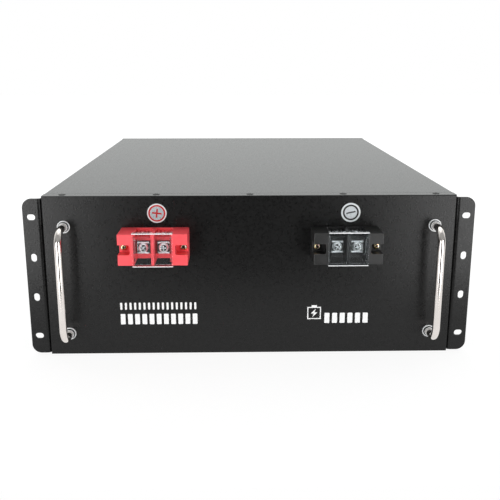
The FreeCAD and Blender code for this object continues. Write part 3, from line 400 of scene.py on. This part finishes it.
def heat_sink():
    """Extruded aluminium, lined along its length."""
    def lines(look, colour):
        return look.tint(look.calc("MULTIPLY", look.bands(0.8 * MM, "Z", 1.5), 0.4), colour, 0.78)

    return surface("extruded_aluminium", 0.48, 0.62, (0.28, 0.42), 10 * MM, 0.5 * MM, 0.01 * MM,
                   edge=0.85, metal=1.0, extra=lines)


def nylon():
    return surface("nylon", (0.68, 0.64, 0.52), (0.80, 0.77, 0.66), (0.38, 0.52), 3 * MM, 0.3 * MM,
                   0.01 * MM, edge=(0.92, 0.90, 0.82))


def silicone(name, dark, light):
    """A cable's silicone sleeve, dusty and slightly ribbed."""
    return surface(name, dark, light, (0.50, 0.66), 5 * MM, 0.6 * MM, 0.03 * MM)


SLOT_LOOKS = {
    "case_paint": powder_coat(),
    "black_screw": black_oxide(),
    "chrome": chrome(),
    "zinc_steel": bright_zinc(),
    "yellow_zinc": yellow_zinc(),
    "nickel": nickel(),
    "copper": copper(),
    "red_plastic": red_moulding(),
    "black_plastic": black_moulding(),
    "clear_plastic": clear_polycarbonate(),
    "label_film": label_film("label_white", (0.60, 0.63, 0.64), (0.67, 0.70, 0.71)),
    "cell_can": cell_film(),
    "insulation": glass_laminate(),
    "circuit_board": circuit_board(),
    "heat_sink": heat_sink(),
    "connector": nylon(),
    "red_cable": silicone("red_silicone", (0.45, 0.02, 0.02), (0.60, 0.04, 0.04)),
    "black_cable": silicone("black_silicone", 0.012, 0.022),
}
LABEL_RED = label_film("label_red", (0.40, 0.005, 0.007), (0.46, 0.009, 0.011))
LABEL_BLACK = label_film("label_black", 0.010, 0.018)
PLUS_FACE = label_face("label_blue_grey", (0.24, 0.35, 0.38), (0.31, 0.42, 0.46))
MINUS_FACE = label_face("label_silver", (0.43, 0.47, 0.50), (0.52, 0.56, 0.59))
INK = panel_ink()
NICKEL_HIGHLIGHT = nickel_highlight()


def dress_frame():
    """Gives every CAD node the look of its slot in the record; its mesh stays as it is."""
    slots = {row["node"]: row["material_slot"] for row in frame["record"]["subparts"]}
    for name, node in NODES.items():
        look = SLOT_LOOKS[slots[name]]
        if not node.material_slots:
            node.data.materials.append(look)
        for held in node.material_slots:
            held.material = look


# ---- mesh building ----
class Form:
    """Points and faces gathered for one mesh, with a material number for each face."""

    def __init__(self):
        self.points = []
        self.faces = []
        self.kinds = []

    def add(self, shape, place, kind=0):
        """Adds a (points, faces) shape, moved by the matrix place.

        kind is one material number, or a list with one for each face.
        """
        points, faces = shape
        start = len(self.points)
        self.points += [place @ Vector(point) for point in points]
        self.faces += [tuple(start + corner for corner in face) for face in faces]
        self.kinds += kind if isinstance(kind, list) else [kind] * len(faces)


def facing(origin, outward, turn=0.0):
    """A place whose Z axis points outward from origin. On the front panel its X is +X, its Y up."""
    rotation = Vector(outward).to_track_quat("Z", "Y").to_matrix().to_4x4()
    return Matrix.Translation(origin) @ rotation @ Matrix.Rotation(turn, 4, "Z")


def on_panel(x, z, turn=0.0):
    return facing((x, FRONT, z), OUT, turn)


def lathe(profile, count, bend=None, closed=False):
    """A profile of (radius, height) turned about Z in count steps.

    bend may move a point, given its radius, angle and height. A closed profile ends where it starts.
    """
    points, rings, faces = [], [], []
    for radius, height in profile:
        copies = 1 if radius == 0 else count
        rings.append(range(len(points), len(points) + copies))
        for step in range(copies):
            angle = 2 * math.pi * step / count
            r, z = bend(radius, angle, height) if bend else (radius, height)
            points.append((r * math.cos(angle), r * math.sin(angle), z))
    for near, far in zip(rings, [*rings[1:], rings[0]] if closed else rings[1:]):
        for step in range(count):
            after = (step + 1) % count
            corners = (near[step % len(near)], near[after % len(near)],
                       far[after % len(far)], far[step % len(far)])
            faces.append(tuple(dict.fromkeys(corners)))
    return points, faces


def plate(outline, thickness):
    """A flat outline of (x, y) raised along Z."""
    count = len(outline)
    points = [(x, y, z) for z in (0.0, thickness) for x, y in outline]
    faces = [tuple(range(count)), tuple(range(count, 2 * count))]
    for corner in range(count):
        after = (corner + 1) % count
        faces.append((corner, after, count + after, count + corner))
    return points, faces


def rounded_rectangle(width, height, radius, steps=5):
    outline = []
    for corner, (sx, sy) in enumerate(((1, 1), (-1, 1), (-1, -1), (1, -1))):
        for step in range(steps + 1):
            angle = math.pi / 2 * (corner + step / steps)
            outline.append((sx * (width / 2 - radius) + radius * math.cos(angle),
                            sy * (height / 2 - radius) + radius * math.sin(angle)))
    return outline


def tube(path, tangents, radius, count):
    """A round bar along a path of (y, z) points with their tangents; both ends are closed."""
    points, faces = [], []
    for (y, z), (ty, tz) in zip(path, tangents):
        for step in range(count):
            angle = 2 * math.pi * step / count
            across, side = radius * math.cos(angle), radius * math.sin(angle)
            points.append((side, y - tz * across, z + ty * across))
    for ring in range(len(path) - 1):
        for step in range(count):
            after = (step + 1) % count
            low, high = ring * count, (ring + 1) * count
            faces.append((low + step, low + after, high + after, high + step))
    faces.append(tuple(range(count)))
    faces.append(tuple(range(len(points) - count, len(points))))
    return points, faces


def piece(name, form, looks, body, slot, *replaced):
    """Makes a form into an object that rides on a body and stands for the replaced CAD nodes."""
    mesh = bpy.data.meshes.new(name)
    mesh.from_pydata(form.points, [], form.faces)
    for look in looks:
        mesh.materials.append(look)
    mesh.polygons.foreach_set("material_index", form.kinds)
    shell = bmesh.new()
    shell.from_mesh(mesh)
    bmesh.ops.recalc_face_normals(shell, faces=shell.faces)
    shell.to_mesh(mesh)
    shell.free()
    mesh.shade_smooth()
    mesh.set_sharp_from_angle(angle=math.radians(38))
    made = bpy.data.objects.new(name, mesh)
    bpy.context.scene.collection.objects.link(made)
    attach(made, body)
    if replaced:
        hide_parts(*replaced)
    return made


def solids(node):
    """The (low, high) corners of each separate solid of a CAD node, in a fixed order."""
    copy = bmesh.new()
    copy.from_mesh(NODES[node].data)
    bmesh.ops.remove_doubles(copy, verts=copy.verts, dist=0.001 * MM)
    waiting = set(copy.verts)
    boxes = []
    while waiting:
        group = [waiting.pop()]
        for vertex in group:
            for edge in vertex.link_edges:
                other = edge.other_vert(vertex)
                if other in waiting:
                    waiting.remove(other)
                    group.append(other)
        low = [min(vertex.co[axis] for vertex in group) for axis in range(3)]
        high = [max(vertex.co[axis] for vertex in group) for axis in range(3)]
        boxes.append((Vector(low), Vector(high)))
    copy.free()
    return sorted(boxes, key=lambda box: tuple(round(value, 5) for value in box[0]))


# ---- screws ----
def recess(x, y, reach, half_width):
    """How deep a point lies in a cross recess, from 0 outside it to 1 on its floor."""
    long, short = max(abs(x), abs(y)), min(abs(x), abs(y))
    wall = (half_width - short) / (0.4 * half_width)
    end = (reach - long) / (0.3 * reach)
    return max(0.0, min(1.0, wall, end))


def face_middles(shape):
    points, faces = shape
    return [sum((Vector(points[corner]) for corner in face), Vector()) / len(face) for face in faces]


def in_recess(shape, radius):
    """A material number for each face of a screw: 1 inside the cross recess, else 0.

    The end of the shank lies under the cross, so only faces high enough to be in the head count.
    """
    kinds = []
    for middle in face_middles(shape):
        in_head = math.hypot(middle.x, middle.y) < 0.62 * radius and middle.z > -0.6 * radius
        depth = recess(middle.x, middle.y, PAN_REACH * radius, PAN_HALF_WIDTH * radius)
        kinds.append(int(in_head and depth > 0.3))
    return kinds


def in_field(shape, radius):
    """A material number for each face of a screw: 1 on its head round the cross, else 0."""
    kinds = []
    for middle, crossed in zip(face_middles(shape), in_recess(shape, radius)):
        flat = middle.z > 0 and math.hypot(middle.x, middle.y) < FIELD_SHARE * radius
        kinds.append(int(flat and not crossed))
    return kinds


def head_bend(radius, depth, threaded):
    """Moves a screw's points: down into the cross recess, and in and out along the thread."""
    reach, half_width = PAN_REACH * radius, PAN_HALF_WIDTH * radius

    def bend(r, angle, z):
        if r < DOME_SHARE * radius and z > depth * 0.5:
            return r, z - depth * recess(r * math.cos(angle), r * math.sin(angle), reach, half_width)
        if threaded and 0 < r < 0.6 * radius and z < THREAD_START:
            phase = (z / THREAD_PITCH - angle / (2 * math.pi)) % 1
            return r - THREAD_DEPTH * abs(2 * phase - 1), z
        return r, z

    return bend


def screw_tip(shank, length):
    return [(shank, -length + 0.4 * MM), (shank - 0.4 * MM, -length), (0, -length)]


def pan_screw(radius, height, length, shank, threaded=False):
    """A cross-head screw with a domed head, seated at height 0 and reaching down to -length."""
    rise = 0.32 * height
    shares = [DOME_SHARE * step / 20 for step in range(21)]
    top = [(radius * share, height - rise * share ** 6) for share in shares]
    shoulder = [(radius * share, height - rise * fall) for share, fall in HEAD_SHOULDER]
    rim = [(radius, 0.36 * height), (radius, 0.04 * height), (0.985 * radius, 0), (shank, 0)]
    steps = int(length / (THREAD_PITCH / 6)) if threaded else 2
    stem = [(shank, -length * step / steps) for step in range(1, steps)]
    count = 96 if radius > 3 * MM else 64
    bend = head_bend(radius, 0.55 * height, threaded)
    return lathe(top + shoulder + rim + stem + screw_tip(shank, length), count, bend)


def flush_screw(radius, length, shank):
    """A countersunk screw whose flat head ends at height 0."""
    depth = 0.5 * radius
    reach, half_width = FLUSH_REACH * radius, FLUSH_HALF_WIDTH * radius
    flat = 0.68 * radius

    def bend(r, angle, z):
        if z < 0 or r > flat:
            return r, z
        return r, z - depth * recess(r * math.cos(angle), r * math.sin(angle), reach, half_width)

    top = [(flat * step / 16, 0.0) for step in range(17)]
    rim = [(0.94 * radius, 0.0), (0.985 * radius, -0.03 * MM), (radius, -0.12 * MM),
           (shank, -(radius - shank))]
    return lathe(top + rim + screw_tip(shank, length), 64, bend)


def outward_of(low, high):
    """The way a case screw's head faces: up on top, down below, else out of the nearer side."""
    middle = (low + high) / 2
    if high.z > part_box("top_cover")[1].z:
        return UP
    if low.z < 0.5 * MM:
        return -UP
    return Vector((math.copysign(1, middle.x), 0, 0))


def front_facing(low, high):
    """The way a block screw's head faces, wherever the screw is."""
    return OUT


def set_screws(name, node, slot, head=0.0, dome=0.0, outward=outward_of):
    """Replaces every screw of a node, each turned to its own angle.

    head is the head's height in the CAD and dome the height that is drawn. Without them the screws
    are countersunk.
    """
    form = Form()
    for number, (low, high) in enumerate(solids(node)):
        out = outward(low, high)
        axis = max(range(3), key=lambda k: abs(out[k]))
        middle = (low + high) / 2
        radius = max(high[k] - low[k] for k in range(3) if k != axis) / 2
        length = high[axis] - low[axis]
        seat = middle + out * (length / 2 - head)
        shank = SHANK_SHARE * radius
        if head:
            shape = pan_screw(radius, dome, length - head, shank)
        else:
            shape = flush_screw(radius, length, shank)
        form.add(shape, facing(seat, out, SCREW_TURN * number), in_recess(shape, radius))
    # The cross recesses get black oxide: painted shade, which shows on the zinc block screws.
    return piece(name, form, [SLOT_LOOKS[slot], SLOT_LOOKS["black_screw"]], "pack", slot, node)


def pole_screw(block, side):
    """An M5 pole screw with its thread, which shows once it is backed out.

    Its place across the panel sets the angle that it stands at, so no two look the same.
    """
    node = f"pole_screw_{block}_{side}"
    low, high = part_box(node)
    middle = (low + high) / 2
    radius, length = (high.x - low.x) / 2, high.y - low.y
    form = Form()
    shank = POLE_SHANK_SHARE * radius
    shape = pan_screw(radius, POLE_HEAD, length - POLE_HEAD, shank, threaded=True)
    turn = 0.5 + 40 * middle.x
    seat = (middle.x, low.y + POLE_HEAD, middle.z)
    form.add(shape, facing(seat, OUT, turn), in_field(shape, radius))
    # The rim, the cross and the shank get the whiter nickel as painted highlight; the field round the
    # cross is plain nickel.
    looks = [NICKEL_HIGHLIGHT, SLOT_LOOKS["nickel"]]
    return piece("cross_" + node, form, looks, f"screw_{block}_{side}", "nickel", node)


def clamp_washer(block, side):
    """A square clamp plate whose upper and lower edges curl forward, most at the corners."""
    node = f"clamp_washer_{block}_{side}"
    low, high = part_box(node)
    middle = (low + high) / 2
    half = (high.x - low.x) / 2
    curl = high.y - low.y - CLAMP_T

    def bend(share, angle, z):
        """Turns a share of the way out into a radius of the square, and lifts its two curled edges."""
        to_edge = half / max(abs(math.cos(angle)), abs(math.sin(angle)))
        r = CLAMP_HOLE + (min(to_edge, CLAMP_CORNER * half) - CLAMP_HOLE) * share
        if z <= 0:
            return r, z
        x, y = abs(r * math.cos(angle)) / half, abs(r * math.sin(angle)) / half
        near_edge = max(0.0, min(1.0, (y - CURL_START) / CURL_WIDTH))
        near_corner = max(0.0, min(1.0, (x - 0.35) / 0.4))
        return r, z + curl * near_edge * (MIDDLE_CURL + (1 - MIDDLE_CURL) * near_corner)

    bore = 0.001                # not 0, which lathe takes for a point on the axis
    top = [(step / 14, CLAMP_T) for step in range(1, 15)]
    profile = [(bore, 0.0), (bore, CLAMP_T * 0.9), *top, (1.0, CLAMP_T * 0.5), (1.0, 0.0)]
    points, faces = lathe(profile, 96, bend, closed=True)
    # The curled faces get the whiter nickel as a painted highlight.
    curled = [int(min(points[corner][2] for corner in face) > CLAMP_T + 0.15 * curl) for face in faces]
    form = Form()
    form.add((points, faces), facing((middle.x, high.y, middle.z), OUT), curled)
    looks = [SLOT_LOOKS["nickel"], NICKEL_HIGHLIGHT]
    return piece("curled_" + node, form, looks, f"clamp_{block}_{side}", "nickel", node)


# ---- handles ----
def handle(side):
    """A bow handle: one bent round bar."""
    node = "handle_" + side
    low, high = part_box(node)
    radius = (high.x - low.x) / 2
    middle_y = low.y + radius + HANDLE_BEND
    path, tangents = [(high.y, low.z + radius)], [(-1.0, 0.0)]
    for end, start_angle in ((-1, 0.0), (1, math.pi / 2)):
        leg = low.z + radius if end < 0 else high.z - radius
        middle_z = leg - end * HANDLE_BEND
        for step in range(19):
            angle = start_angle + math.pi / 2 * step / 18
            path.append((middle_y - HANDLE_BEND * math.sin(angle),
                         middle_z + end * HANDLE_BEND * abs(math.cos(angle))))
            tangents.append((-math.cos(angle), math.sin(angle)))
    path.append((high.y, high.z - radius))
    tangents.append((1.0, 0.0))
    form = Form()
    form.add(tube(path, tangents, radius, 48), Matrix.Translation(((low.x + high.x) / 2, 0, 0)))
    return piece("bow_" + node, form, [SLOT_LOOKS["chrome"]], "pack", "chrome", node)


def ferrules():
    """A turned collar round each handle foot: a rounded rim, a groove and a raised inner ring, with
    painted highlight on the rim and ring and painted shade in the groove.
    """
    profile = COLLAR_RIM + COLLAR_GROOVE + COLLAR_RING
    # The rim's round and the inner ring's top get the whiter nickel as painted highlight; the groove
    # gets black oxide as painted shade.
    chrome_band, groove_shade_band, highlight_band = range(3)
    bands = [chrome_band] * 2 + [highlight_band] * (len(COLLAR_RIM) - 2)
    bands += [groove_shade_band] * len(COLLAR_GROOVE)
    bands += [chrome_band] + [highlight_band] * (len(COLLAR_RING) - 2) + [chrome_band]
    count = 64
    shape = lathe([(radius * MM, height * MM) for radius, height in profile], count, closed=True)
    kinds = [band for band in bands for step in range(count)]
    form = Form()
    for low, high in solids("handle_ferrules"):
        form.add(shape, on_panel((low.x + high.x) / 2, (low.z + high.z) / 2), kinds)
    looks = [SLOT_LOOKS["chrome"], SLOT_LOOKS["black_screw"], NICKEL_HIGHLIGHT]
    return piece("turned_ferrules", form, looks, "pack", "chrome", "handle_ferrules")


# ---- labels and printing ----
def disc(radius, height):
    """A flat round film with its front edge broken."""
    edge = 0.06 * MM
    front = [(radius, height - edge), (radius - edge, height), (0, height)]
    return lathe([(0, 0), (radius, 0), *front], 96)


def ring(inner, outer, height):
    return lathe([(inner, 0), (outer, 0), (outer, height), (inner, height)], 96, closed=True)


def bar_outline(width, height):
    return rounded_rectangle(width, height, 0.2 * MM, 2)


def polarity_label(mark, rings, turn, bars, face_look, mark_look):
    """A round polarity label: white film, a coloured ring, a printed middle and the mark's bars."""
    low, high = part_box("polarity_label_" + mark)
    middle = (low + high) / 2
    inner, outer = rings
    place = on_panel(middle.x, middle.z, turn)
    form = Form()
    form.add(disc((high.x - low.x) / 2, 0.6 * LABEL_T), place, 0)
    form.add(ring(inner, outer, 0.75 * LABEL_T), place, 1)
    form.add(disc(inner - 0.05 * MM, 0.7 * LABEL_T), place, 2)
    for width, height, thickness in bars:
        form.add(plate(bar_outline(width, height), thickness), place, 1)
    looks = [SLOT_LOOKS["label_film"], mark_look, face_look]
    return piece("printed_label_" + mark, form, looks, "pack", "label_film", "polarity_label_" + mark)


def print_row(form, area, count, share, radius):
    """A row of equal rounded blocks that fills an area; share is how much of each step is ink."""
    left, bottom, right, top = area
    height = top - bottom
    step = (right - left) / (count - 1 + share)
    block = plate(rounded_rectangle(step * share, height, radius), INK_T)
    for number in range(count):
        form.add(block, on_panel(left + step * (number + share / 2), (top + bottom) / 2))


def print_frame(form, area, line):
    """The outline of a rectangle, drawn as four bars."""
    left, bottom, right, top = area
    width, height = right - left, top - bottom
    middle_x, middle_z = (left + right) / 2, (top + bottom) / 2
    level = plate(bar_outline(width, line), INK_T)
    upright = plate(bar_outline(line, height - 2 * line), INK_T)
    for end in ENDS:
        form.add(level, on_panel(middle_x, middle_z + end * (height - line) / 2))
        form.add(upright, on_panel(middle_x + end * (width - line) / 2, middle_z))


def print_battery(form, area):
    """A plain battery sign: a case with its pole cap and a charge bolt."""
    left, bottom, right, top = area
    middle, height, width = (left + right) / 2, top - bottom, right - left
    cap = 0.12 * height
    print_frame(form, (left, bottom, right, top - cap), 1.1 * MM)
    form.add(plate(bar_outline(0.4 * width, cap), INK_T), on_panel(middle, top - cap / 2))
    outline = [(x * width, y * height) for x, y in CHARGE_BOLT]
    form.add(plate(outline, INK_T), on_panel(middle, (bottom + top - cap) / 2))


def panel_printing():
    """The panel's white marks: a row of dashes over gauge blocks, and a battery sign with its bars."""
    form = Form()
    for area, count, share in ((DASH_ROW, 17, 0.45), (GAUGE_ROW, 11, 0.66), (BAR_ROW, 6, 0.66)):
        print_row(form, area, count, share, 0.8 * MM)
    print_battery(form, PICTOGRAM)
    return piece("panel_printing", form, [INK], "pack", "label_film")


def round_over(node, width):
    """Rounds a CAD node's sharp edges with modifiers, which leave its own mesh alone."""
    target = NODES[node]
    weld = target.modifiers.new("weld", "WELD")
    weld.merge_threshold = 0.001 * MM
    rounding = target.modifiers.new("rounding", "BEVEL")
    rounding.width = width
    rounding.segments = 2
    rounding.limit_method = "ANGLE"
    rounding.angle_limit = math.radians(50)
    rounding.harden_normals = True


# ---- studio ----
def softbox(name, place, target, width, height, radiance):
    """A rectangular light of even radiance."""
    data = bpy.data.lights.new(name, "AREA")
    data.shape = "RECTANGLE"
    data.size = width
    data.size_y = height
    data.energy = radiance * math.pi * width * height
    made = bpy.data.objects.new(name, data)
    made.location = place
    made.rotation_euler = (Vector(target) - Vector(place)).to_track_quat("-Z", "Y").to_euler()
    bpy.context.scene.collection.objects.link(made)


def studio_world():
    """White to the eye; as light it is bright behind the pack, dark in front and brighter overhead."""
    world = bpy.data.worlds.new("studio")
    bpy.context.scene.world = world
    sky = Graph(world)
    way = sky.node("TexCoord", output="Generated")
    ahead = sky.node("SeparateXYZ", {0: way}, output="Y")
    above = sky.node("SeparateXYZ", {0: way}, output="Z")
    strength = sky.calc("ADD", sky.between(ahead, -0.15, 0.45, 0.07, 1.12),
                        sky.between(above, 0.1, 0.6, 0.0, 0.35))
    seen = sky.node("LightPath", output="Is Camera Ray")
    light = sky.node("Background", {"Color": rgba((0.98, 1.0, 0.99)), "Strength": strength})
    white = sky.node("Background", {"Color": rgba(1.0), "Strength": 1.0})
    sky.close(sky.mixed(seen, light, white))


def floor():
    """A white floor that glows, so that the shadows on it stay soft."""
    look = new_look("studio_white")
    speck = look.noise(0.3, 2.0)
    paper = look.node("BsdfDiffuse", {"Color": look.tint(speck, 0.15, 0.17)})
    depth = look.node("SeparateXYZ", {0: look.places()}, output="Y")
    brightness = look.between(depth, -0.5, 0.4, 0.85, 1.0)
    glow = look.node("Emission", {"Color": rgba(1.0), "Strength": brightness})
    mesh = bpy.data.meshes.new("floor")
    corners = [(-FLOOR_HALF, FLOOR_NEAR, 0), (FLOOR_HALF, FLOOR_NEAR, 0),
               (FLOOR_HALF, FLOOR_FAR, 0), (-FLOOR_HALF, FLOOR_FAR, 0)]
    mesh.from_pydata(corners, [], [(0, 1, 2, 3)])
    mesh.materials.append(look.close(look.node("AddShader", {0: paper, 1: glow})))
    made = bpy.data.objects.new("floor", mesh)
    bpy.context.scene.collection.objects.link(made)


def camera():
    data = bpy.data.cameras.new("camera")
    data.sensor_width = 36
    data.lens = LENS
    made = bpy.data.objects.new("camera", data)
    made.location = EYE
    way = Vector((math.sin(YAW) * math.cos(PITCH), math.cos(YAW) * math.cos(PITCH), -math.sin(PITCH)))
    made.rotation_euler = way.to_track_quat("-Z", "Y").to_euler()
    bpy.context.scene.collection.objects.link(made)
    bpy.context.scene.camera = made


def build():
    dress_frame()
    set_screws("case_screw_heads", "case_screws", "black_screw", CASE_HEAD, CASE_DOME)
    set_screws("base_screw_heads", "base_screws", "black_screw")
    set_screws("ear_screw_heads", "ear_screws", "black_screw")
    set_screws("block_screw_heads", "block_screws", "yellow_zinc", BLOCK_HEAD, BLOCK_HEAD, front_facing)
    for block in BLOCKS:
        for side in SIDES:
            pole_screw(block, side)
            clamp_washer(block, side)
        round_over("terminal_cover_" + block, COVER_ROUNDING)
    for side in SIDES:
        handle(side)
    ferrules()
    polarity_label("plus", PLUS_RING, PLUS_TURN, PLUS_BARS, PLUS_FACE, LABEL_RED)
    polarity_label("minus", MINUS_RING, MINUS_TURN, MINUS_BARS, MINUS_FACE, LABEL_BLACK)
    panel_printing()


def light():
    studio_world()
    floor()
    for side in ENDS:
        place = Vector((side * SIDE_LIGHT.x, SIDE_LIGHT.y, SIDE_LIGHT.z))
        target = Vector((place.x, 0, place.z))
        softbox(f"side_light_{side}", place, target, *SIDE_LIGHT_SIZE, SIDE_RADIANCE)
    softbox("overhead", OVERHEAD, (0, 0, 0), *OVERHEAD_SIZE, OVERHEAD_RADIANCE)
    bpy.context.scene.view_settings.view_transform = "Standard"


build()
light()
camera()
